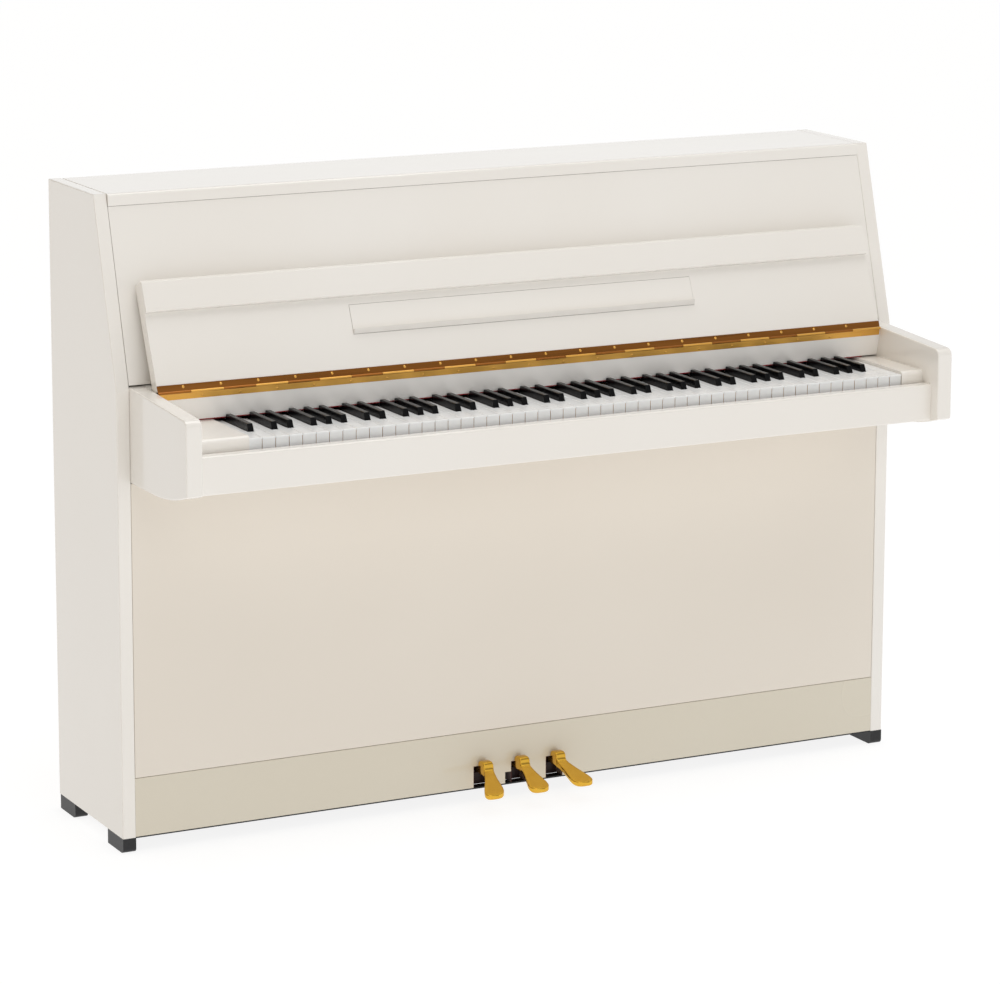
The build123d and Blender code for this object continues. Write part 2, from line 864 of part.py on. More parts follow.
def iron_plate():
    """The cast plate: side bars, a web under the pins, struts, and the hitch web under the long bridge."""
    y = (plate_front, plate_front + plate_thickness)
    half = case_inner / 2 - 12
    web_top = pin_block_bottom - panel_gap
    web = (web_top - plate_web_height, web_top)
    bars = block((-half, -half + plate_bar), y, (plate_bottom, web[1]))
    bars += block((half - plate_bar, half), y, (plate_bottom, web[1]))
    bars += block((-half, half), y, web)
    bars += block((-half, half), y, (plate_bottom, plate_bottom + plate_web_height))
    drop = bridge_width / 2 + 12
    curve = [(x, z - drop) for x, z in bridge_line(9)]
    right = half - plate_bar / 2
    low = plate_bottom + 10
    hitch = [(curve[0][0], low), (right, low), (right, curve[-1][1]), *reversed(curve)]
    (x0, z0), (x1, z1) = bass_bridge_ends()
    room = bridge_width / 2 + 8
    window = [(x0 - 10, z0 - room), (x1 + 10, z1 - room), (x1 + 10, z1 + room), (x0 - 10, z0 + room)]
    bars += front_profile(hitch, y) - front_profile(window, (y[0] - 1, y[1] + 1))
    for share in (-0.19, 0.06, 0.27):
        x = share * case_inner
        foot = treble_curve(x) + bridge_width / 2 + 12
        bars += block((x - plate_strut / 2, x + plate_strut / 2), y, (foot, web[1]))
    return bars


def string_counts():
    """How many strings each note has."""
    return [1 if n < single_bass_notes else 2 if n < bass_notes else 3 for n in range(note_count)]


def pin_place(note, string):
    """X and height of a string's tuning pin: rows stagger so that neighbouring pins miss each other."""
    row = 3 * (note % 2) + string
    pitch = (pin_block_height - 28) / 5
    return tail_middle(note) + (string - 1) * string_pitch, pin_block_bottom + 14 + row * pitch


def tuning_pins():
    y = (pin_block_front - tuning_pin_length, pin_block_front)
    pins = []
    for note, count in enumerate(string_counts()):
        for string in range(count):
            x, z = pin_place(note, string)
            pins.append(rod((x, y[0], z), (x, y[1], z), tuning_pin_radius))
    return group(pins)


def bass_strings():
    """Wound strings, crossing in front of the plain ones down to the bass bridge."""
    (x0, z0), (x1, z1) = bass_bridge_ends()
    strings = []
    for note in range(bass_notes):
        share = note / (bass_notes - 1)
        for string in range(string_counts()[note]):
            x = pin_place(note, string)[0]
            foot_x = x0 + (x1 - x0) * (0.03 + 0.92 * share) + string * string_pitch * 1.4
            foot_z = z0 + (z1 - z0) * (0.03 + 0.92 * share) - bridge_width
            radius = single_bass_radius if note < single_bass_notes else bass_radius
            strings.append(rod((x, bass_depth, string_top), (foot_x, bass_depth, foot_z), radius))
    return group(strings)


def plain_strings():
    """Steel strings, from the pins to just below the long bridge."""
    low_x, high_x = -0.38 * case_inner + 14, 0.45 * case_inner - 14
    strings = []
    last = note_count - 1
    for note in range(bass_notes, note_count):
        share = (note - bass_notes) / (last - bass_notes)
        for string in range(3):
            x = pin_place(note, string)[0]
            foot_x = low_x + (high_x - low_x) * share + (string - 1) * string_pitch
            foot_z = treble_curve(foot_x) - bridge_width / 2 - 6
            top = (x, string_depth, string_top)
            strings.append(rod(top, (foot_x, string_depth, foot_z), plain_radius))
    return group(strings)


# ---------------------------------------------------------------- action


def action_x():
    """Inner faces of the two end brackets."""
    return keyboard_left - 13, keyboard_left + keyboard_width + 14


def action_frame():
    """Two end brackets, the main rail between them and two short props under it."""
    left, right = action_x()
    rail_depth = (butt_depth - 14, butt_depth + 8)
    rail_z = (butt_height - 37, butt_height - 16)
    axis = string_depth - rail_axis_to_string
    solids = []
    for x in ((left - 6, left), (right, right + 6)):
        outline = [
            (key_back + 4, bed_top),
            (key_back + 4, 700),
            (axis - 12, 752),
            (axis - 12, 806),
            (butt_depth - 16, 830),
            (butt_depth - 16, 950),
            (butt_depth + 2, 950),
            (butt_depth + 10, 830),
            (butt_depth + 10, 700),
            (butt_depth + 10, bed_top),
        ]
        plate = side_profile(outline, x)
        bore = cross_rod((x[0] - 1, x[1] + 1), (axis, rail_axis_height), rail_shaft_radius + pivot_play)
        solids.append(plate - bore)
    solids.append(block((left, right), rail_depth, rail_z))
    return group(solids)


def wippens():
    """The levers between the keys and the hammers, shown at rest and clear of the keys' travel."""
    levers = []
    for key in range(note_count):
        x = tail_middle(key)
        span = (x - 3.5, x + 3.5)
        outline = [
            (key_back - 20, wippen_bottom),
            (key_back - 8, wippen_bottom),
            (key_back - 8, wippen_bottom + 16),
            (butt_depth + 6, wippen_bottom + 20),
            (butt_depth + 6, wippen_bottom + 30),
            (key_back - 20, wippen_bottom + 26),
        ]
        levers.append(side_profile(outline, span))
    return group(levers)


def lean(distance, across):
    """A (depth, height) point on a resting hammer: up its shank, and across it towards the strings."""
    a = radians(rest_angle)
    return (
        butt_depth - distance * sin(a) + across * cos(a),
        butt_height + distance * cos(a) + across * sin(a),
    )


def hammers():
    """88 hammers at rest, each a butt, a shank and a felted head."""
    made = []
    for key in range(note_count):
        x = tail_middle(key)
        half = hammer_width / 2
        head = [
            lean(shank_length - hammer_thickness / 2, -hammer_tail),
            lean(shank_length + hammer_thickness / 2, -hammer_tail),
            lean(shank_length + hammer_thickness / 2, hammer_tip - 6),
            lean(shank_length, hammer_tip),
            lean(shank_length - hammer_thickness / 2, hammer_tip - 6),
        ]
        butt = [lean(-8, -7), lean(20, -6), lean(20, 6), lean(-8, 7)]
        solid = side_profile(head, (x - half, x + half)) + side_profile(butt, (x - 4, x + 4))
        solid += rod((x, *lean(15, 0)), (x, *lean(shank_length, 0)), shank_radius)
        made.append(solid + cross_rod((x - 4.6, x + 4.6), (butt_depth, butt_height), butt_pin_radius))
    return group(made)


def hammer_rest_rail():
    """The rail that the shanks rest on, on two arms from a shaft, and the crank that its rod pushes."""
    left, right = action_x()
    axis = (string_depth - rail_axis_to_string, rail_axis_height)
    rail_at = lean(rest_rail_up, -(shank_radius + rest_rail_gap + rest_rail_radius))
    shaft = cross_rod((left_rod_x - 7, right + 12), axis, rail_shaft_radius)
    rail = cross_rod((left - 11, right - 4), rail_at, rest_rail_radius)
    solid = shaft + rail
    for x in ((left - 12, left - 8), (right - 8, right - 4)):
        outline = [
            (axis[0] - 6, axis[1]),
            (rail_at[0] - 6, rail_at[1]),
            (rail_at[0] + 6, rail_at[1]),
            (axis[0] + 6, axis[1]),
        ]
        solid += side_profile(outline, x)
    x = (left_rod_x - 6, left_rod_x + 6)
    crank = block(x, (left_lever_depth - 9, axis[0]), (axis[1] - 5, axis[1] + 5))
    return solid + crank


def dampers():
    """Felt blocks on levers, one to a note up to the top treble, all on one lifting shaft."""
    left, right = action_x()
    axis = (string_depth - damper_axis_to_string, damper_axis_height)
    solid = cross_rod((right_rod_x - 6, right - 2), axis, damper_shaft_radius)
    crank_top = rail_axis_height - rail_shaft_radius - 10
    x = (right_rod_x - 6, right_rod_x + 6)
    crank = block(x, (right_lever_depth - 9, axis[0] + 3), (crank_top - 10, crank_top))
    crank += block(x, (axis[0] - 4, axis[0] + 3), (crank_top - 1, axis[1]))
    at = (right_rod_x, right_lever_depth)
    crank -= rod((*at, crank_top - 11), (*at, crank_top + 1), rod_eye_radius)
    solids = [solid + crank]
    lever_top = damper_bottom + damper_height / 2
    for key in range(damper_notes):
        x = tail_middle(key)
        crossed = key < bass_notes + crossed_notes
        string = bass_depth - single_bass_radius if crossed else string_depth - plain_radius
        felt_x = (x - damper_width / 2, x + damper_width / 2)
        felt_z = (damper_bottom, damper_bottom + damper_height)
        felt = block(felt_x, (axis[0] - 2.5, string - damper_gap), felt_z)
        lever = block((x - 1.5, x + 1.5), (axis[0] - 2.5, axis[0] + 1), (axis[1], lever_top))
        solids[0] += felt + lever
    return solids[0]


def muffler_rail():
    """A felt curtain on a bar that the middle pedal lowers between the hammers and the strings."""
    left, right = action_x()
    y = (string_depth - muffler_to_string - muffler_bar_depth, string_depth - muffler_to_string)
    bar_bottom = muffler_top - muffler_bar_height
    bar = block((middle_rod_x - 7, right - 2), y, (bar_bottom, muffler_top))
    lug_x = (middle_rod_x - 7, middle_rod_x + 7)
    lug = block(lug_x, (middle_lever_depth - 9, y[0] + 1), (bar_bottom, muffler_top))
    eye = rod(
        (middle_rod_x, middle_lever_depth, bar_bottom - 1),
        (middle_rod_x, middle_lever_depth, muffler_top + 1),
        rod_eye_radius,
    )
    felt_y = (y[1] - muffler_felt_thickness, y[1])
    felt = block((left + 6, right - 6), felt_y, (bar_bottom - muffler_felt_drop, bar_bottom))
    return group([bar + lug - eye, felt])


# ---------------------------------------------------------------- pedals and trapwork


def pedal(which):
    """A brass pedal: a paddle, a hump where it enters the case, a bar on its pivot and a lifting pad."""
    x = pedal_xs[which]
    half = pedal_bar_width / 2
    contact = lever_depths[which]
    pad_top = lever_bottoms[which] - lever_gap
    bar = block((x - half, x + half), (pedal_hump_front, contact + 6), (pedal_bar_bottom, pedal_bar_top))
    hump = [
        (pedal_hump_front, pedal_bar_bottom),
        (pedal_hump_front + 3, pedal_hump_top - 5),
        (pedal_hump_front + 9, pedal_hump_top),
        (pedal_hump_back, pedal_hump_top - 2),
        (pedal_hump_back, pedal_bar_bottom),
    ]
    solid = bar + side_profile(hump, (x - half - 1.5, x + half + 1.5))
    pad_y = (contact - pad_half, contact + pad_half)
    solid += block((x - pad_half, x + pad_half), pad_y, (pedal_bar_top - 1, pad_top))
    boss = cross_rod((x - half, x + half), (pedal_pivot_depth, pedal_pivot_height), pivot_pin_radius + 4)
    pivot = (pedal_pivot_depth, pedal_pivot_height)
    bore = cross_rod((x - half - 1, x + half + 1), pivot, pivot_pin_radius + pivot_play)
    solid += boss
    solid -= bore
    toe = pedal_splay[which]
    wide = paddle_width / 2
    outline = [
        (half, 0),
        (wide * 0.72 + toe * 0.5, -paddle_length * 0.5),
        (wide + toe, -paddle_length * 0.8),
        (wide * 0.62 + toe, -paddle_length * 0.97),
        (toe, -paddle_length),
        (-wide * 0.62 + toe, -paddle_length * 0.97),
        (-wide + toe, -paddle_length * 0.8),
        (-wide * 0.72 + toe * 0.5, -paddle_length * 0.5),
        (-half, 0),
    ]
    turn = radians(paddle_drop)
    face = Plane(
        origin=(x, from_front(pedal_hump_front + 2), pedal_bar_top + 2),
        x_dir=(1, 0, 0),
        z_dir=(0, -sin(turn), cos(turn)),
    )
    down = (0, sin(turn), -cos(turn))
    paddle = extrude(face * Polygon(*outline, align=None), paddle_thickness, dir=down)
    return solid + paddle


def trap_lever(which):
    """A wooden lever along the bottom board, lifted by its pedal's pad."""
    pivot = lever_pivots[which]
    bottom = lever_bottoms[which]
    rod_x = rod_xs[which]
    y = (lever_depths[which] - lever_width / 2, lever_depths[which] + lever_width / 2)
    reach = (rod_x - 14, max(pivot, pedal_xs[which]) + 16)
    lever = block(reach, y, (bottom, bottom + lever_height))
    axis = bottom + lever_height / 2
    lever -= rod((pivot, y[0] - 1, axis), (pivot, y[1] + 1, axis), pivot_pin_radius + pivot_play)
    if which == 0:
        return lever
    at = (rod_x, lever_depths[which])
    return lever - rod((*at, bottom - 1), (*at, bottom + lever_height + 1), rod_eye_radius)


def trap_brackets():
    """Cheeks and pins that carry the pedals and the trap levers on the bottom board."""
    solids = []
    half = pedal_bar_width / 2 + cheek_gap
    y = (pedal_pivot_depth - 8, pedal_pivot_depth + 8)
    for x in pedal_xs:
        ends = (x - half - cheek_thickness, x + half + cheek_thickness)
        yoke = cross_rod(ends, (pedal_pivot_depth, pedal_pivot_height), pivot_pin_radius)
        for low in (x - half - cheek_thickness, x + half):
            yoke += block((low, low + cheek_thickness), y, (bottom_board_top, pedal_pivot_height + 8))
        solids.append(yoke)
    for which in range(3):
        pivot, middle = lever_pivots[which], lever_depths[which]
        axis = lever_bottoms[which] + lever_height / 2
        reach = lever_width / 2 + cheek_gap
        thin = 2.0
        ends = (middle - reach - thin, middle + reach + thin)
        yoke = rod((pivot, ends[0], axis), (pivot, ends[1], axis), pivot_pin_radius)
        for low in (middle - reach - thin, middle + reach):
            yoke += block((pivot - 9, pivot + 9), (low, low + thin), (bottom_board_top, axis + 9))
        solids.append(yoke)
    return group(solids)


def pedal_rod(which):
    """An upright dowel from a trap lever to the action; the pulled ones pass an eye to a nut at each end."""
    at = (rod_xs[which], lever_depths[which])
    low = lever_bottoms[which]
    start = low + lever_height + rod_gap
    if which == 0:
        return rod((*at, start), (*at, rail_axis_height - 5 - rod_gap), rod_radius)
    high = muffler_top if which == 1 else rail_axis_height - rail_shaft_radius - 10
    ends = (low - rod_gap - rod_nut_height, high + rod_gap + rod_nut_height)
    solid = rod((*at, ends[0]), (*at, ends[1]), rod_neck_radius)
    solid += rod((*at, start), (*at, high - 10 - rod_gap), rod_radius)
    for foot in (ends[0], high + rod_gap):
        solid += rod((*at, foot), (*at, foot + rod_nut_height), rod_nut_radius)
    return solid


# ---------------------------------------------------------------- every node

first_single = 39  # the C in the middle, counted from 0
single_keys = 8

nodes = {
    "side_panel_left": side_panel(-1),
    "side_panel_right": side_panel(1),
    "arm_left": arm(-1),
    "arm_right": arm(1),
    "key_bed": key_bed(),
    "key_slip": key_slip(),
    "key_block_left": key_block((-arms_inner / 2, keyboard_left)),
    "key_block_right": key_block((keyboard_left + keyboard_width, arms_inner / 2)),
    "nameboard": nameboard(),
    "upper_panel": upper_panel(),
    "lower_panel": lower_panel(),
    "toe_rail": toe_rail(),
    "bottom_board": bottom_board(),
    "glides": glides(),
    "lid": lid(),
    "lid_hinge_fixed_leaf": lid_hinge(False),
    "lid_hinge_moving_leaf": lid_hinge(True),
    "fallboard": fallboard(),
    "fallboard_hinge_fixed_leaf": fallboard_hinge(False),
    "fallboard_hinge_moving_leaf": fallboard_hinge(True),
    "fallboard_lip": fallboard_lip(),
    "fallboard_bumpers": fallboard_bumpers(),
    "music_shelf": music_shelf(),
    "key_frame": key_frame(),
    "white_keys_low": key_group(0, first_single, True),
    "black_keys_low": key_group(0, first_single, False),
    "white_keys_high": key_group(first_single + single_keys, note_count, True),
    "black_keys_high": key_group(first_single + single_keys, note_count, False),
    "back_frame": back_frame(),
    "soundboard": soundboard(),
    "soundboard_ribs": soundboard_ribs(),
    "pin_block": pin_block(),
    "iron_plate": iron_plate(),
    "tuning_pins": tuning_pins(),
    "bass_strings": bass_strings(),
    "plain_strings": plain_strings(),
    "action_frame": action_frame(),
    "wippens": wippens(),
    "hammers": hammers(),
    "hammer_rest_rail": hammer_rest_rail(),
    "dampers": dampers(),
    "muffler_rail": muffler_rail(),
    "trap_brackets": trap_brackets(),
}
for key in range(first_single, first_single + single_keys):
    nodes["key_" + octave_names[note_place(key)[0]]] = make_key(key)
for which, name in enumerate(("left", "middle", "right")):
    nodes["pedal_" + name] = pedal(which)
    nodes["trap_lever_" + name] = trap_lever(which)
    nodes["pedal_rod_" + name] = pedal_rod(which)

os.makedirs("parts", exist_ok=True)
for name, shape in nodes.items():
    export_step(shape, f"parts/{name}.step")
print(len(nodes), "nodes, width", round(width, 2))
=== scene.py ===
"""Looks for an upright piano in polished ivory lacquer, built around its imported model."""

import math

import bmesh
import bpy
import numpy as np
from mathutils import Matrix, Vector


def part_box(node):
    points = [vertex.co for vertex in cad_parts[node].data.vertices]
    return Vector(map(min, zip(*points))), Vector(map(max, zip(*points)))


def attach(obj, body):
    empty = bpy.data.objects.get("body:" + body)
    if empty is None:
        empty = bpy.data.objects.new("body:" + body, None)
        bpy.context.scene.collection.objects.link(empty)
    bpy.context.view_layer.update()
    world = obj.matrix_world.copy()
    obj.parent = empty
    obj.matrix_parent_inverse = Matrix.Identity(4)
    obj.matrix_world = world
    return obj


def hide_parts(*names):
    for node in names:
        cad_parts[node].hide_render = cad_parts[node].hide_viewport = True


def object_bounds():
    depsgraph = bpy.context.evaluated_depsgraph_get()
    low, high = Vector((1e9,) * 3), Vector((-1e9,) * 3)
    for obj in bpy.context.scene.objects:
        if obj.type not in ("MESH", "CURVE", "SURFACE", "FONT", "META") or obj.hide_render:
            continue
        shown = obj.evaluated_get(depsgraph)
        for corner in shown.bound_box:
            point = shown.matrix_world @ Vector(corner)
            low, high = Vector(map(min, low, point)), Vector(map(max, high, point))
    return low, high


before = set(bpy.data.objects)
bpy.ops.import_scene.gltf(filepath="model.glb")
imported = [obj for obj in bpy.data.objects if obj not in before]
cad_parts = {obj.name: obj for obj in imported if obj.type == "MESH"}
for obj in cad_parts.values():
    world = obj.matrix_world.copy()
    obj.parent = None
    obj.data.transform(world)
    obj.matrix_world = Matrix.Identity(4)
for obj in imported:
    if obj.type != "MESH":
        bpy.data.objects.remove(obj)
cad_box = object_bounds()


def behind(distance_mm):
    """Y of a place stated in millimetres behind the arms' front faces."""
    return cad_box[0][1] + distance_mm / 1000


# ---------------------------------------------------------------- materials


def linear(hex_colour):
    """An sRGB hex colour as the linear RGBA that shaders take."""
    channels = [int(hex_colour[i:i + 2], 16) / 255 for i in (1, 3, 5)]
    return [c / 12.92 if c <= 0.04045 else ((c + 0.055) / 1.055) ** 2.4 for c in channels] + [1.0]


def add(tree, kind, settings={}, values={}, links={}):
    """One shader node: its settings, then its sockets' values, then what feeds its sockets."""
    made = tree.nodes.new(kind)
    for name, value in settings.items():
        setattr(made, name, value)
    for name, value in values.items():
        made.inputs[name].default_value = value
    for name, source in links.items():
        tree.links.new(source, made.inputs[name])
    return made


def empty_material(name):
    """A new material and its node tree, with nothing in it yet."""
    material = bpy.data.materials.new(name)
    material.use_nodes = True
    material.node_tree.nodes.clear()
    return material, material.node_tree


def lacquer(name, low, high, roughness):
    """Polyester lacquer, sprayed thick and buffed flat.

    It gives a deep, even gloss; the ground colour clouds a little over half a metre, and the
    buffing leaves ripples about 8 mm apart and a few microns deep that soften reflections.
    """
    material, tree = empty_material(name)
    where = add(tree, "ShaderNodeTexCoord")
    cloud = add(
        tree, "ShaderNodeTexNoise", {}, {"Scale": 2.2, "Detail": 2.0}, {"Vector": where.outputs["Object"]}
    )
    tone = add(
        tree,
        "ShaderNodeMix",
        {"data_type": "RGBA"},
        {6: linear(low), 7: linear(high)},
        {0: cloud.outputs["Fac"]},
    )
    haze = add(
        tree,
        "ShaderNodeMapRange",
        {},
        {"To Min": roughness * 0.75, "To Max": roughness * 1.3},
        {"Value": cloud.outputs["Fac"]},
    )
    ripple = add(
        tree, "ShaderNodeTexNoise", {}, {"Scale": 120.0, "Detail": 1.0}, {"Vector": where.outputs["Object"]}
    )
    bump = add(
        tree,
        "ShaderNodeBump",
        {},
        {"Strength": 0.35, "Distance": 0.00002},
        {"Height": ripple.outputs["Fac"]},
    )
    surface = add(
        tree,
        "ShaderNodeBsdfPrincipled",
        {},
        {"IOR": 1.5, "Coat Weight": 0.4, "Coat Roughness": 0.04},
        {"Base Color": tone.outputs[2], "Roughness": haze.outputs[0], "Normal": bump.outputs["Normal"]},
    )
    add(tree, "ShaderNodeOutputMaterial", links={"Surface": surface.outputs["BSDF"]})
    return material


def timber(name, low, high, along, ring_mm, roughness):
    """Planed or sawn wood with its grain along one axis.

    Growth rings show as bands drawn out 18 times along the grain, with fine pores between them
    that catch the light and break up the gloss.
    """
    material, tree = empty_material(name)
    across = 1000 / ring_mm
    stretch = [across, across, across]
    stretch["xyz".index(along)] = across / 18
    where = add(tree, "ShaderNodeTexCoord")
    grain = add(tree, "ShaderNodeMapping", {}, {"Scale": stretch}, {"Vector": where.outputs["Object"]})
    bands = add(
        tree,
        "ShaderNodeTexNoise",
        {},
        {"Scale": 1.0, "Detail": 4.0, "Roughness": 0.6, "Distortion": 0.6},
        {"Vector": grain.outputs["Vector"]},
    )
    contrast = add(
        tree, "ShaderNodeMapRange", {}, {"From Min": 0.3, "From Max": 0.7}, {"Value": bands.outputs["Fac"]}
    )
    tone = add(
        tree,
        "ShaderNodeMix",
        {"data_type": "RGBA"},
        {6: linear(low), 7: linear(high)},
        {0: contrast.outputs[0]},
    )
    dryness = add(
        tree,
        "ShaderNodeMapRange",
        {},
        {"To Min": roughness * 0.8, "To Max": roughness * 1.25},
        {"Value": bands.outputs["Fac"]},
    )
    pores = add(
        tree, "ShaderNodeTexNoise", {}, {"Scale": 6.0, "Detail": 2.0}, {"Vector": grain.outputs["Vector"]}
    )
    bump = add(
        tree, "ShaderNodeBump", {}, {"Strength": 0.5, "Distance": 0.00012}, {"Height": pores.outputs["Fac"]}
    )
    surface = add(
        tree,
        "ShaderNodeBsdfPrincipled",
        {},
        {"IOR": 1.45, "Coat Weight": 0.15},
        {"Base Color": tone.outputs[2], "Roughness": dryness.outputs[0], "Normal": bump.outputs["Normal"]},
    )
    add(tree, "ShaderNodeOutputMaterial", links={"Surface": surface.outputs["BSDF"]})
    return material


def brass(name, low, high, roughness, stretch):
    """Brass, cast and buffed or rolled: warm yellow metal.

    Faint tarnish clouds its colour and gloss, and polishing lines a millimetre apart blur what it
    reflects along one direction.
    """
    material, tree = empty_material(name)
    where = add(tree, "ShaderNodeTexCoord")
    drawn = add(tree, "ShaderNodeMapping", {}, {"Scale": stretch}, {"Vector": where.outputs["Object"]})
    tarnish = add(
        tree, "ShaderNodeTexNoise", {}, {"Scale": 60.0, "Detail": 3.0}, {"Vector": drawn.outputs["Vector"]}
    )
    tone = add(
        tree,
        "ShaderNodeMix",
        {"data_type": "RGBA"},
        {6: linear(low), 7: linear(high)},
        {0: tarnish.outputs["Fac"]},
    )
    haze = add(
        tree,
        "ShaderNodeMapRange",
        {},
        {"To Min": roughness * 0.6, "To Max": roughness * 1.4},
        {"Value": tarnish.outputs["Fac"]},
    )
    lines = add(
        tree, "ShaderNodeTexNoise", {}, {"Scale": 900.0, "Detail": 2.0}, {"Vector": drawn.outputs["Vector"]}
    )
    bump = add(
        tree, "ShaderNodeBump", {}, {"Strength": 0.3, "Distance": 0.00002}, {"Height": lines.outputs["Fac"]}
    )
    surface = add(
        tree,
        "ShaderNodeBsdfPrincipled",
        {},
        {"Metallic": 1.0},
        {"Base Color": tone.outputs[2], "Roughness": haze.outputs[0], "Normal": bump.outputs["Normal"]},
    )
    add(tree, "ShaderNodeOutputMaterial", links={"Surface": surface.outputs["BSDF"]})
    return material


def felt(name, low, high):
    """Pressed wool felt: matt, with a fuzzy nap and fibres that show as specks 0.8 mm across."""
    material, tree = empty_material(name)
    where = add(tree, "ShaderNodeTexCoord")
    fibres = add(
        tree,
        "ShaderNodeTexNoise",
        {},
        {"Scale": 1250.0, "Detail": 4.0, "Roughness": 0.7},
        {"Vector": where.outputs["Object"]},
    )
    tone = add(
        tree,
        "ShaderNodeMix",
        {"data_type": "RGBA"},
        {6: linear(low), 7: linear(high)},
        {0: fibres.outputs["Fac"]},
    )
    bump = add(
        tree, "ShaderNodeBump", {}, {"Strength": 0.8, "Distance": 0.0003}, {"Height": fibres.outputs["Fac"]}
    )
    surface = add(
        tree,
        "ShaderNodeBsdfPrincipled",
        {},
        {"Roughness": 0.95, "IOR": 1.4, "Sheen Weight": 0.4, "Sheen Roughness": 0.5},
        {"Base Color": tone.outputs[2], "Normal": bump.outputs["Normal"]},
    )
    add(tree, "ShaderNodeOutputMaterial", links={"Surface": surface.outputs["BSDF"]})
    return material


def moulded(name, low, high, roughness, grain_mm):
    """Black plastic or rubber from a textured mould: a fine leathery grain over a dull black."""
    material, tree = empty_material(name)
    where = add(tree, "ShaderNodeTexCoord")
    grain = add(
        tree, "ShaderNodeTexVoronoi", {}, {"Scale": 1000 / grain_mm}, {"Vector": where.outputs["Object"]}
    )
    tone = add(
        tree,
        "ShaderNodeMix",
        {"data_type": "RGBA"},
        {6: linear(low), 7: linear(high)},
        {0: grain.outputs["Distance"]},
    )
    bump = add(
        tree,
        "ShaderNodeBump",
        {},
        {"Strength": 0.5, "Distance": 0.00015},
        {"Height": grain.outputs["Distance"]},
    )
    surface = add(
        tree,
        "ShaderNodeBsdfPrincipled",
        {},
        {"Roughness": roughness, "IOR": 1.5},
        {"Base Color": tone.outputs[2], "Normal": bump.outputs["Normal"]},
    )
    add(tree, "ShaderNodeOutputMaterial", links={"Surface": surface.outputs["BSDF"]})
    return material


def sprayed_iron(name, low, high):
    """Sand-cast iron sprayed with bronze paint: a grainy skin under a soft metallic lustre."""
    material, tree = empty_material(name)
    where = add(tree, "ShaderNodeTexCoord")
    sand = add(
        tree, "ShaderNodeTexNoise", {}, {"Scale": 500.0, "Detail": 5.0}, {"Vector": where.outputs["Object"]}
    )
    tone = add(
        tree,
        "ShaderNodeMix",
        {"data_type": "RGBA"},
        {6: linear(low), 7: linear(high)},
        {0: sand.outputs["Fac"]},
    )
    lustre = add(
        tree, "ShaderNodeMapRange", {}, {"To Min": 0.3, "To Max": 0.5}, {"Value": sand.outputs["Fac"]}
    )
    bump = add(
        tree, "ShaderNodeBump", {}, {"Strength": 0.6, "Distance": 0.00025}, {"Height": sand.outputs["Fac"]}
    )
    surface = add(
        tree,
        "ShaderNodeBsdfPrincipled",
        {},
        {"Metallic": 0.75},
        {"Base Color": tone.outputs[2], "Roughness": lustre.outputs[0], "Normal": bump.outputs["Normal"]},
    )
    add(tree, "ShaderNodeOutputMaterial", links={"Surface": surface.outputs["BSDF"]})
    return material


def wire(name, low, high, roughness, turn_mm):
    """Drawn or wound wire: bright metal lined across its length at the spacing of its turns."""
    material, tree = empty_material(name)
    where = add(tree, "ShaderNodeTexCoord")
    turns = add(
        tree,
        "ShaderNodeTexWave",
        {"bands_direction": "Z"},
        {"Scale": 320 / turn_mm},
        {"Vector": where.outputs["Object"]},
    )
    tone = add(
        tree,
        "ShaderNodeMix",
        {"data_type": "RGBA"},
        {6: linear(low), 7: linear(high)},
        {0: turns.outputs["Fac"]},
    )
    bump = add(
        tree, "ShaderNodeBump", {}, {"Strength": 0.4, "Distance": 0.0001}, {"Height": turns.outputs["Fac"]}
    )
    surface = add(
        tree,
        "ShaderNodeBsdfPrincipled",
        {},
        {"Metallic": 1.0, "Roughness": roughness},
        {"Base Color": tone.outputs[2], "Normal": bump.outputs["Normal"]},
    )
    add(tree, "ShaderNodeOutputMaterial", links={"Surface": surface.outputs["BSDF"]})
    return material


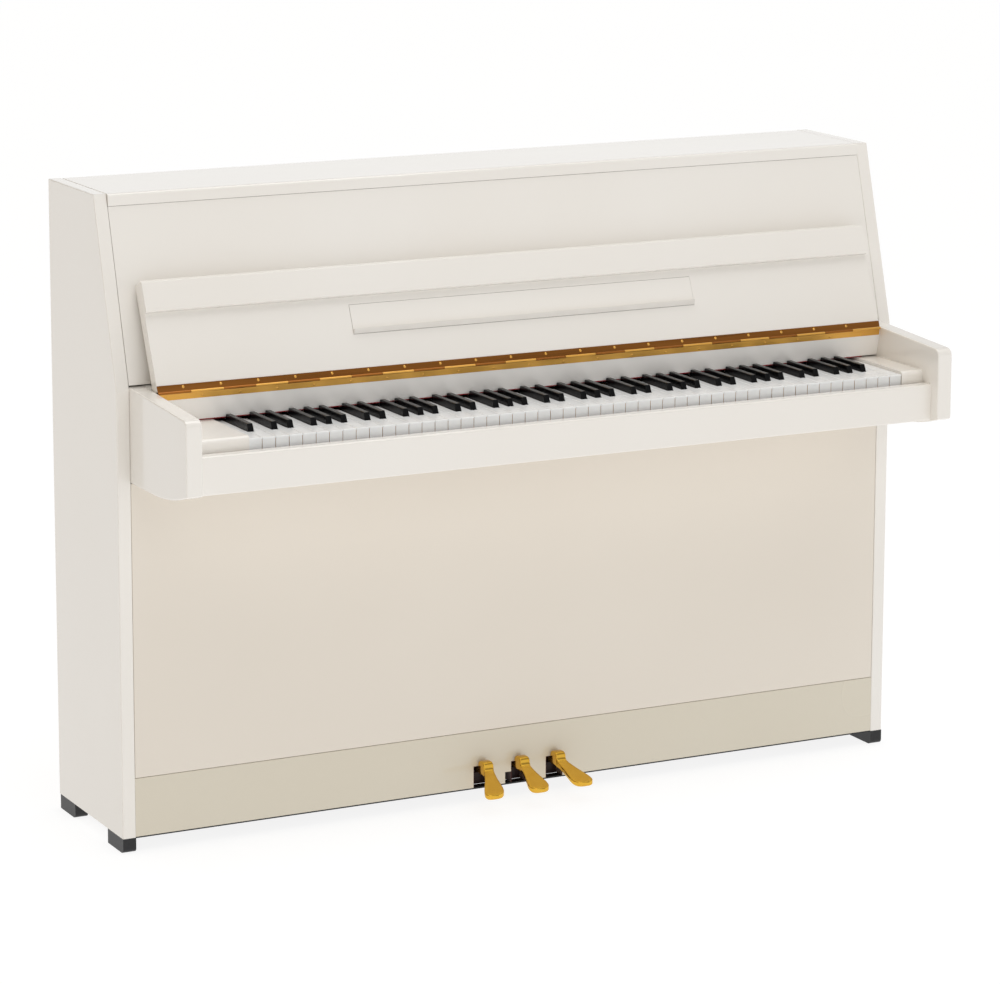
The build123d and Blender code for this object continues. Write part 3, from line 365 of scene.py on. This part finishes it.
def key_cap(name, cap, stick, roughness, gloss, cap_front):
    """Moulded key caps glued on spruce sticks: glossy plastic above the glue line, pale wood below.

    cap_front is the Y in front of which a key is all plastic, at any height. The plastic is clouded
    very slightly; the wood's grain runs from front to back.
    """
    material, tree = empty_material(name)
    where = add(tree, "ShaderNodeTexCoord")
    cloud = add(
        tree, "ShaderNodeTexNoise", {}, {"Scale": 35.0, "Detail": 2.0}, {"Vector": where.outputs["Object"]}
    )
    plastic = add(
        tree,
        "ShaderNodeMix",
        {"data_type": "RGBA"},
        {6: linear(cap[0]), 7: linear(cap[1])},
        {0: cloud.outputs["Fac"]},
    )
    lengthways = add(
        tree, "ShaderNodeMapping", {}, {"Scale": (400, 16, 400)}, {"Vector": where.outputs["Object"]}
    )
    grain = add(
        tree,
        "ShaderNodeTexNoise",
        {},
        {"Scale": 1.0, "Detail": 3.0},
        {"Vector": lengthways.outputs["Vector"]},
    )
    wood = add(
        tree,
        "ShaderNodeMix",
        {"data_type": "RGBA"},
        {6: linear(stick[0]), 7: linear(stick[1])},
        {0: grain.outputs["Fac"]},
    )
    place = add(tree, "ShaderNodeSeparateXYZ", links={"Vector": where.outputs["Object"]})
    below_glue = add(
        tree, "ShaderNodeMath", {"operation": "LESS_THAN"}, {1: key_glue_line}, {0: place.outputs["Z"]}
    )
    behind_cap = add(
        tree, "ShaderNodeMath", {"operation": "GREATER_THAN"}, {1: cap_front}, {0: place.outputs["Y"]}
    )
    wooden = add(
        tree,
        "ShaderNodeMath",
        {"operation": "MULTIPLY"},
        links={0: below_glue.outputs["Value"], 1: behind_cap.outputs["Value"]},
    )
    tone = add(
        tree,
        "ShaderNodeMix",
        {"data_type": "RGBA"},
        links={0: wooden.outputs["Value"], 6: plastic.outputs[2], 7: wood.outputs[2]},
    )
    dullness = add(
        tree,
        "ShaderNodeMapRange",
        {},
        {"To Min": roughness, "To Max": 0.55},
        {"Value": wooden.outputs["Value"]},
    )
    surface = add(
        tree,
        "ShaderNodeBsdfPrincipled",
        {},
        {"IOR": 1.5, "Specular IOR Level": gloss},
        {"Base Color": tone.outputs[2], "Roughness": dullness.outputs[0]},
    )
    add(tree, "ShaderNodeOutputMaterial", links={"Surface": surface.outputs["BSDF"]})
    return material


def wood_with_felt(name, axis, level, below, above):
    """One action part made of two: felt or beech up to a level on an axis, the other beyond it.

    Each is a pair of colours; fibres and grain show as fine specks drawn out along the height.
    """
    material, tree = empty_material(name)
    where = add(tree, "ShaderNodeTexCoord")
    upright = add(
        tree, "ShaderNodeMapping", {}, {"Scale": (600, 600, 90)}, {"Vector": where.outputs["Object"]}
    )
    specks = add(
        tree, "ShaderNodeTexNoise", {}, {"Scale": 1.0, "Detail": 4.0}, {"Vector": upright.outputs["Vector"]}
    )
    first = add(
        tree,
        "ShaderNodeMix",
        {"data_type": "RGBA"},
        {6: linear(below[0]), 7: linear(below[1])},
        {0: specks.outputs["Fac"]},
    )
    second = add(
        tree,
        "ShaderNodeMix",
        {"data_type": "RGBA"},
        {6: linear(above[0]), 7: linear(above[1])},
        {0: specks.outputs["Fac"]},
    )
    place = add(tree, "ShaderNodeSeparateXYZ", links={"Vector": where.outputs["Object"]})
    beyond = add(
        tree, "ShaderNodeMath", {"operation": "GREATER_THAN"}, {1: level}, {0: place.outputs[axis]}
    )
    tone = add(
        tree,
        "ShaderNodeMix",
        {"data_type": "RGBA"},
        links={0: beyond.outputs["Value"], 6: first.outputs[2], 7: second.outputs[2]},
    )
    bump = add(
        tree, "ShaderNodeBump", {}, {"Strength": 0.5, "Distance": 0.0002}, {"Height": specks.outputs["Fac"]}
    )
    surface = add(
        tree,
        "ShaderNodeBsdfPrincipled",
        {},
        {"Roughness": 0.75, "IOR": 1.45, "Sheen Weight": 0.2},
        {"Base Color": tone.outputs[2], "Normal": bump.outputs["Normal"]},
    )
    add(tree, "ShaderNodeOutputMaterial", links={"Surface": surface.outputs["BSDF"]})
    return material


# Where one material gives way to another on a part made of two, in metres.
key_glue_line = 0.71745
white_cap_front = -0.2112
black_cap_front = -0.02
hammer_felt_above = 0.902
damper_felt_behind = 0.1475
muffler_felt_below = 1.0028

beech = ("#B88A58", "#DDB988")
pale_felt = ("#DEDACE", "#F0ECE2")
red = ("#7E1620", "#9C2430")
cap_white = ("#F4F6F7", "#FAFBFB")
cap_black = ("#060607", "#0C0C0E")
stick_spruce = ("#C79B62", "#E3C08C")
stick_blackened = ("#1A1512", "#2A211B")

# Ivory polyester on the outer boards, one lacquer throughout. The lower panel is given a darker, warmer
# tone and the toe rail a darker, greyer one: painted shade.
# The nameboard is given a satin finish, a guess that keeps the black keys from mirroring in it, and a paler
# tone: painted light.
ivory = lacquer("ivory_polyester", "#F2EDE5", "#F7F4EF", 0.14)
lower_ivory_painted_shade = lacquer("lower_panel_polyester_painted_shade", "#E6DDD0", "#ECE4D8", 0.16)
satin_ivory_painted_light = lacquer("satin_nameboard_ivory_painted_light", "#FBF8F3", "#FEFCF9", 0.4)
rail_ivory_painted_shade = lacquer("rail_polyester_painted_shade", "#DAD1BE", "#E0D9C8", 0.24)
spruce = timber("varnished_spruce", "#C9964F", "#E4BE7E", "z", 3.0, 0.38)
rib_spruce = timber("varnished_spruce_ribs", "#BE8C49", "#DDB474", "x", 3.0, 0.4)
post_beech = timber("planed_beech_posts", "#9A6E42", "#C2965F", "z", 5.0, 0.5)
rail_beech = timber("planed_beech_rails", "#B88C5C", "#DAB380", "x", 5.0, 0.5)
maple = timber("laminated_maple", "#B98D5E", "#D9B384", "x", 2.5, 0.45)
# The bottom board is given a near-black colour, a guess from how dark the pedal slots are.
near_black_board = timber("near_black_bottom_board", "#1C0A0C", "#2E1416", "x", 4.0, 0.6)
pedal_brass = brass("buffed_brass_casting", "#D6A236", "#E9BC4C", 0.13, (1, 1, 1))
hinge_brass = brass("rolled_brass", "#E3A94C", "#F0BE68", 0.4, (0.05, 1, 1))
# The moving leaf is given a browner, darker brass than the fixed one, though both are the same metal:
# painted reflection of the dim part of the room that its leaning face mirrors. How much of that is
# the metal, and how much only what it reflects, is not known.
brass_painted_dark_reflection = brass("rolled_brass_painted_dark_reflection", "#8F5826", "#B3763A", 0.3, (0.05, 1, 1))
white_plastic = key_cap("acrylic_key_caps", cap_white, stick_spruce, 0.2, 0.5, white_cap_front)
black_plastic_keys = key_cap("phenolic_black_keys", cap_black, stick_blackened, 0.2, 0.2, black_cap_front)
red_felt = felt("red_wool_felt", "#8E1420", "#B3202B")
maroon_felt = felt("maroon_wool_felt", "#2E0B0B", "#481414")
iron = sprayed_iron("bronze_painted_iron", "#9C7433", "#C79A4E")
steel = wire("drawn_steel", "#A9ABB0", "#D5D7DB", 0.28, 0.8)
copper = wire("wound_copper", "#8E4A22", "#D08250", 0.35, 1.0)
black_abs = moulded("moulded_abs", "#0C0C0D", "#17171A", 0.42, 1.4)
rubber = moulded("moulded_rubber", "#121212", "#1C1C1C", 0.7, 1.0)
hammer_finish = wood_with_felt("beech_and_hammer_felt", "Z", hammer_felt_above, beech, pale_felt)
damper_finish = wood_with_felt("beech_and_damper_felt", "Y", damper_felt_behind, beech, pale_felt)
muffler_finish = wood_with_felt("beech_and_muffler_felt", "Z", muffler_felt_below, red, beech)

dressing = {
    ivory: "side_panel_left side_panel_right arm_left arm_right key_slip key_block_left key_block_right "
    "upper_panel lid fallboard fallboard_lip music_shelf key_bed",
    # the lower panel and toe rail take the copies with painted shade, the nameboard the copy with painted
    # light
    lower_ivory_painted_shade: "lower_panel",
    satin_ivory_painted_light: "nameboard",
    rail_ivory_painted_shade: "toe_rail",
    post_beech: "back_frame",
    spruce: "soundboard",
    rib_spruce: "soundboard_ribs",
    near_black_board: "bottom_board",
    rail_beech: "key_frame trap_lever_left trap_lever_middle trap_lever_right wippens action_frame "
    "hammer_rest_rail",
    maple: "pin_block pedal_rod_left pedal_rod_middle pedal_rod_right",
    hinge_brass: "fallboard_hinge_fixed_leaf lid_hinge_fixed_leaf lid_hinge_moving_leaf",
    # the moving hinge leaf takes the brass with the painted dark reflection
    brass_painted_dark_reflection: "fallboard_hinge_moving_leaf",
    pedal_brass: "pedal_left pedal_middle pedal_right",
    white_plastic: "white_keys_low white_keys_high key_c key_d key_e key_f key_g",
    black_plastic_keys: "black_keys_low black_keys_high key_c_sharp key_d_sharp key_f_sharp",
    iron: "iron_plate",
    steel: "tuning_pins plain_strings trap_brackets",
    copper: "bass_strings",
    hammer_finish: "hammers",
    damper_finish: "dampers",
    muffler_finish: "muffler_rail",
    black_abs: "glides",
    rubber: "fallboard_bumpers",
}
for material, names in dressing.items():
    for name in names.split():
        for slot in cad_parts[name].material_slots:
            slot.material = material


# ---------------------------------------------------------------- pieces


def shells(name, rings, material, body, smooth=True):
    """Closed shells riding on a body, from points shaped (shells, rings, points in a ring, 3).

    Quads join each ring to the next, and one face closes each end.
    """
    count, rows, columns = rings.shape[:3]
    r = np.arange(rows - 1)[:, None]
    c = np.arange(columns)[None, :]
    after = (c + 1) % columns
    corners = (r * columns + c, r * columns + after, (r + 1) * columns + after, (r + 1) * columns + c)
    quads = np.stack(np.broadcast_arrays(*corners), axis=-1).reshape(-1, 4)
    ends = np.stack([np.arange(columns)[::-1], (rows - 1) * columns + np.arange(columns)])
    first = (np.arange(count) * rows * columns)[:, None, None]
    faces = (quads + first).reshape(-1, 4).tolist() + (ends + first).reshape(-1, columns).tolist()
    mesh = bpy.data.meshes.new(name)
    mesh.from_pydata(rings.reshape(-1, 3).tolist(), [], faces)
    outward = bmesh.new()
    outward.from_mesh(mesh)
    bmesh.ops.recalc_face_normals(outward, faces=outward.faces)
    outward.to_mesh(mesh)
    outward.free()
    mesh.shade_smooth() if smooth else mesh.shade_flat()
    mesh.materials.append(material)
    piece = bpy.data.objects.new(name, mesh)
    bpy.context.scene.collection.objects.link(piece)
    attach(piece, body)
    return piece


def bar(name, outline, ends, along, material, body="case", smooth=False):
    """A straight bar: an outline in the other two coordinates, carried along axis 0 or 1 between ends."""
    outline = np.asarray(outline, float)
    rings = np.stack([np.insert(outline, along, end, axis=1) for end in ends])
    return shells(name, rings[None], material, body, smooth)


def box_outline(low, high):
    """The four corners of a rectangle, going round from its low corner."""
    return [(low[0], low[1]), (high[0], low[1]), (high[0], high[1]), (low[0], high[1])]


# ---------------------------------------------------------------- fallboard hinge screws

open_lean = math.radians(23)
name_lean = math.radians(12.3)
up_board = np.array([0, math.sin(open_lean), math.cos(open_lean)])
out_of_board = np.array([0, -math.cos(open_lean), math.sin(open_lean)])
down_name = np.array([0, math.sin(name_lean), -math.cos(name_lean)])
out_of_name = np.array([0, -math.cos(name_lean), -math.sin(name_lean)])
hinge_axis = np.array([0, behind(186), 0.777])
screw_from_axis = 0.0085
screw_spacing = 0.066
leaf_low, leaf_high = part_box("fallboard_hinge_fixed_leaf")


def screw_row(name, run, outward, body, first_x):
    """Screw heads along a leaf, 66 mm apart.

    A head's rings shrink to a quarter of its radius while its height rises as one minus the square
    of that share, over a flat underside sunk in the leaf.
    """
    radius, rise, seat = 0.0025, 0.0009, -0.0004
    x = np.arange(first_x, leaf_high[0] - 0.01, screw_spacing)
    share = np.array([1.0, 1.0, 0.8, 0.55, 0.25])[:, None]
    height = np.array([-0.6, 0.0, 0.36, 0.70, 0.94])[:, None] * rise
    angle = np.linspace(0, 2 * math.pi, 14, endpoint=False)[None, :]
    sideways = np.array([1.0, 0, 0])
    across = np.cross(sideways, outward)
    head = (
        (radius * share * np.cos(angle))[..., None] * sideways
        + (radius * share * np.sin(angle))[..., None] * across
        + (height + 0 * angle)[..., None] * outward
    )
    centre = hinge_axis + run + outward * seat + x[:, None] * sideways
    return shells(name, centre[:, None, None] + head[None], hinge_brass, body)


screw_row(
    "fallboard_hinge_upper_screws",
    up_board * screw_from_axis,
    out_of_board,
    "fallboard",
    leaf_low[0] + 0.045,
)
screw_row(
    "fallboard_hinge_lower_screws",
    down_name * screw_from_axis,
    out_of_name,
    "case",
    leaf_low[0] + 0.012,
)

# ---------------------------------------------------------------- felts, and a painted shadow strip under the toe rail

name_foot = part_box("nameboard")[0][2]
bar(
    "nameboard_felt",
    box_outline((behind(199.0), name_foot - 0.0016), (behind(211), name_foot - 0.0001)),
    (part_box("white_keys_low")[0][0] - 0.026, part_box("white_keys_high")[1][0] + 0.012),
    0,
    red_felt,
)

rail_low, rail_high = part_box("toe_rail")
# A black strip along the toe rail's foot: painted shadow, standing in for the dark gap between the case and
# the floor.
bar(
    "toe_rail_painted_shadow_strip",
    box_outline((rail_low[1] + 0.0008, rail_low[2] - 0.0026), (rail_high[1] - 0.001, rail_low[2] - 0.0001)),
    (rail_low[0] + 0.001, rail_high[0] - 0.001),
    0,
    black_abs,
)


def slot_lining(name, left, right, foot, top=0.0639, thickness=0.0012):
    """Felt glued round a pedal's slot: a hoop open at the foot, carried through the toe rail."""
    hoop = [
        (left, foot),
        (left, top),
        (right, top),
        (right, foot),
        (right - thickness, foot),
        (right - thickness, top - thickness),
        (left + thickness, top - thickness),
        (left + thickness, foot),
    ]
    ends = (rail_low[1] + 0.0006, rail_high[1] + 0.0015)
    return bar(name, hoop, ends, 1, maroon_felt)


slot_foot = rail_low[2] + 0.0002
slot_lining("pedal_slot_felt_left", -0.0899, -0.0571, slot_foot)
slot_lining("pedal_slot_felt_middle", -0.0174, 0.0104, slot_foot)
slot_lining("pedal_slot_felt_right", 0.0501, 0.0829, slot_foot)

# ---------------------------------------------------------------- pedals

# A pedal's outline from its bar inside the case to its toe: distance behind the arms' fronts,
# height of its top and of its bottom, and half its width, all in millimetres.
pedal_outline = np.array(
    [
        (240, 60, 52, 8),
        (236, 60.2, 52, 8),
        (234.5, 62, 51.6, 8.6),
        (233.5, 72, 51.2, 9.4),
        (232, 75, 51, 9.6),
        (226, 76, 50.8, 9.7),
        (219, 76, 50.6, 9.7),
        (215, 75.4, 50.4, 9.7),
        (213, 73.5, 50.2, 9.6),
        (212, 69, 50, 9.4),
        (211, 64.5, 49.8, 9.2),
        (208, 61.6, 49.4, 9.3),
        (203, 59.2, 48.4, 9.9),
        (190, 54, 44.2, 12),
        (176, 48.6, 39.0, 15.4),
        (166, 44.8, 35.2, 17.9),
        (159, 42.1, 32.5, 18.5),
        (154, 40.2, 30.6, 17.2),
        (150.8, 38.9, 29.6, 14.2),
        (148.8, 38.0, 29.5, 10.2),
        (147.7, 37.0, 30.3, 5.2),
    ]
)
pedal_pivot = (behind(285), 0.057)
hub_radius, hub_half_width = 0.0079, 0.0081
hub = np.linspace(0, 2 * math.pi, 28, endpoint=False)
hub_outline = np.column_stack(
    [pedal_pivot[0] + hub_radius * np.cos(hub), pedal_pivot[1] + hub_radius * np.sin(hub)]
)


def pedal_casting(side, x, toe_shift, pad_at, pad_top):
    """A cast pedal: squared-off sections carried along its outline, drifting towards its toe.

    A section's points are the signed |cos| and |sin| of the angle to the power 0.3, times half
    the width and half the height, so that its faces are flat and its edges rounded. The same bar
    runs back to the pad that lifts the trap lever, through a hub round the pivot.
    """
    back = np.array([(pad_at + 6, 60, 52, 8), (pad_at, 60, 52, 8)])
    line = np.concatenate([back, pedal_outline])
    # Stations go round the corners evenly by length, then a short running mean rounds them.
    steps = np.hypot(np.diff(line[:, 0]), np.diff(line[:, 1]))
    run = np.concatenate([[0], np.cumsum(steps)])
    even = np.linspace(0, run[-1], 150)
    line = np.column_stack([np.interp(even, run, column) for column in line.T])
    kernel = np.array([1, 2, 3, 2, 1]) / 9
    padded = np.pad(line, ((2, 2), (0, 0)), mode="edge")
    line = np.column_stack([np.convolve(column, kernel, mode="valid") for column in padded.T])
    angle = np.linspace(0, 2 * math.pi, 36, endpoint=False)[None, :]
    sideways = np.sign(np.cos(angle)) * np.abs(np.cos(angle)) ** 0.3
    upright = np.sign(np.sin(angle)) * np.abs(np.sin(angle)) ** 0.3
    middle, half = (line[:, 1:2] + line[:, 2:3]) / 2, (line[:, 1:2] - line[:, 2:3]) / 2
    # The drift grows evenly over the 63 mm of paddle in front of the knob.
    drift = toe_shift * np.clip((211 - line[:, :1]) / 63, 0, 1)
    px = x + (drift + sideways * line[:, 3:4]) / 1000
    pz = (middle + upright * half) / 1000
    py = behind(line[:, :1]) + 0 * angle
    body = f"pedal_{side}"
    sections = np.stack([px, py, pz], axis=-1)
    casting = shells(f"pedal_casting_{side}", sections[None], pedal_brass, body)
    hub_ends = (x - hub_half_width, x + hub_half_width)
    hub_piece = bar(f"pedal_hub_{side}", hub_outline, hub_ends, 0, pedal_brass, body)
    pad = box_outline((behind(pad_at - 3), 0.059), (behind(pad_at + 3), pad_top))
    pad_piece = bar(f"pedal_pad_{side}", pad, (x - 0.003, x + 0.003), 0, pedal_brass, body)
    for piece in (casting, hub_piece, pad_piece):
        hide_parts(f"pedal_{side}")


pedal_casting("left", -0.0735, -19, 311, 0.0664)
pedal_casting("middle", -0.0035, -0.5, 349, 0.0994)
pedal_casting("right", 0.0665, 16, 330, 0.0664)

# ---------------------------------------------------------------- studio

# A white floor that glows, so that only the contact shadow is left under the object.
floor_mesh = bpy.data.meshes.new("studio_floor")
floor_mesh.from_pydata([(-30, -30, 0), (30, -30, 0), (30, 30, 0), (-30, 30, 0)], [], [(0, 1, 2, 3)])
floor = bpy.data.objects.new("studio_floor", floor_mesh)
bpy.context.scene.collection.objects.link(floor)
floor_finish, tree = empty_material("white_studio_floor")
surface = add(
    tree,
    "ShaderNodeBsdfPrincipled",
    values={
        "Base Color": linear("#808080"),
        "Roughness": 0.95,
        "Specular IOR Level": 0.0,
        "Emission Color": linear("#FFFFFF"),
        "Emission Strength": 0.86,
    },
)
add(tree, "ShaderNodeOutputMaterial", links={"Surface": surface.outputs["BSDF"]})
floor_mesh.materials.append(floor_finish)

# The room is white round the horizon and overhead, dim between them, and warmer on the left.
world = bpy.data.worlds.new("studio")
bpy.context.scene.world = world
world.use_nodes = True
tree = world.node_tree
tree.nodes.clear()
where = add(tree, "ShaderNodeTexCoord")
direction = add(tree, "ShaderNodeSeparateXYZ", links={"Vector": where.outputs["Generated"]})
over_horizon = add(
    tree,
    "ShaderNodeMapRange",
    {"interpolation_type": "SMOOTHSTEP"},
    {"From Min": 0.2, "From Max": 0.36, "To Min": 0.9, "To Max": 0.4},
    {"Value": direction.outputs["Z"]},
)
overhead = add(
    tree,
    "ShaderNodeMapRange",
    {"interpolation_type": "SMOOTHSTEP"},
    {"From Min": 0.7, "From Max": 0.9, "To Min": 0.0, "To Max": 0.8},
    {"Value": direction.outputs["Z"]},
)
brightness = add(
    tree,
    "ShaderNodeMath",
    {"operation": "ADD"},
    links={0: over_horizon.outputs[0], 1: overhead.outputs[0]},
)
to_left = add(
    tree, "ShaderNodeMapRange", {}, {"From Min": -0.9, "From Max": 0.1}, {"Value": direction.outputs["X"]}
)
tint = add(
    tree,
    "ShaderNodeMix",
    {"data_type": "RGBA"},
    {6: linear("#C6B8A4"), 7: linear("#FFFFFF")},
    {0: to_left.outputs[0]},
)
lighting = add(
    tree,
    "ShaderNodeBackground",
    links={"Color": tint.outputs[2], "Strength": brightness.outputs["Value"]},
)
backdrop = add(tree, "ShaderNodeBackground", values={"Color": linear("#FFFFFF"), "Strength": 1.0})
path = add(tree, "ShaderNodeLightPath")
shown = add(
    tree,
    "ShaderNodeMixShader",
    links={0: path.outputs["Is Camera Ray"], 1: lighting.outputs[0], 2: backdrop.outputs[0]},
)
add(tree, "ShaderNodeOutputWorld", links={"Surface": shown.outputs[0]})


def softbox(name, at, aim, size, power):
    """A rectangular area light at one point, turned to face another."""
    light = bpy.data.lights.new(name, "AREA")
    light.shape = "RECTANGLE"
    light.size, light.size_y = size
    light.energy = power
    lamp = bpy.data.objects.new(name, light)
    bpy.context.scene.collection.objects.link(lamp)
    facing = (Vector(aim) - Vector(at)).to_track_quat("-Z", "Y")
    lamp.matrix_world = Matrix.Translation(at) @ facing.to_matrix().to_4x4()
    return lamp


softbox("front_light", (-0.6, -4.2, 2.6), (0, 0, 0.5), (2.2, 1.4), 16)
softbox("top_light", (0, -0.2, 3.8), (0, 0, 0.5), (2.6, 1.8), 24)

# ---------------------------------------------------------------- camera

# Fitted to the case: the view looks down the piano from the left front.
turn, tip, roll = math.radians(27.018), math.radians(10.856), math.radians(0.159)
level_ahead = Vector((math.sin(turn), math.cos(turn), 0))
level_right = Vector((math.cos(turn), -math.sin(turn), 0))
ahead = level_ahead * math.cos(tip) - Vector((0, 0, math.sin(tip)))
lift = level_right.cross(ahead)
right = level_right * math.cos(roll) + lift * math.sin(roll)
lift = lift * math.cos(roll) - level_right * math.sin(roll)
distance, sidestep, height = 6.414716, -0.144259, 2.01734
stand = level_right * sidestep - level_ahead * distance + Vector((0, 0, height))
stand.y += cad_box[0][1]
camera_data = bpy.data.cameras.new("camera")
camera_data.sensor_width = 36
camera_data.lens = camera_data.sensor_width * 3.977961
camera_data.shift_y = -0.12
camera = bpy.data.objects.new("camera", camera_data)
bpy.context.scene.collection.objects.link(camera)
camera.matrix_world = Matrix.Translation(stand) @ Matrix((right, lift, -ahead)).transposed().to_4x4()
bpy.context.scene.camera = camera
bpy.context.scene.view_settings.view_transform = "Standard"
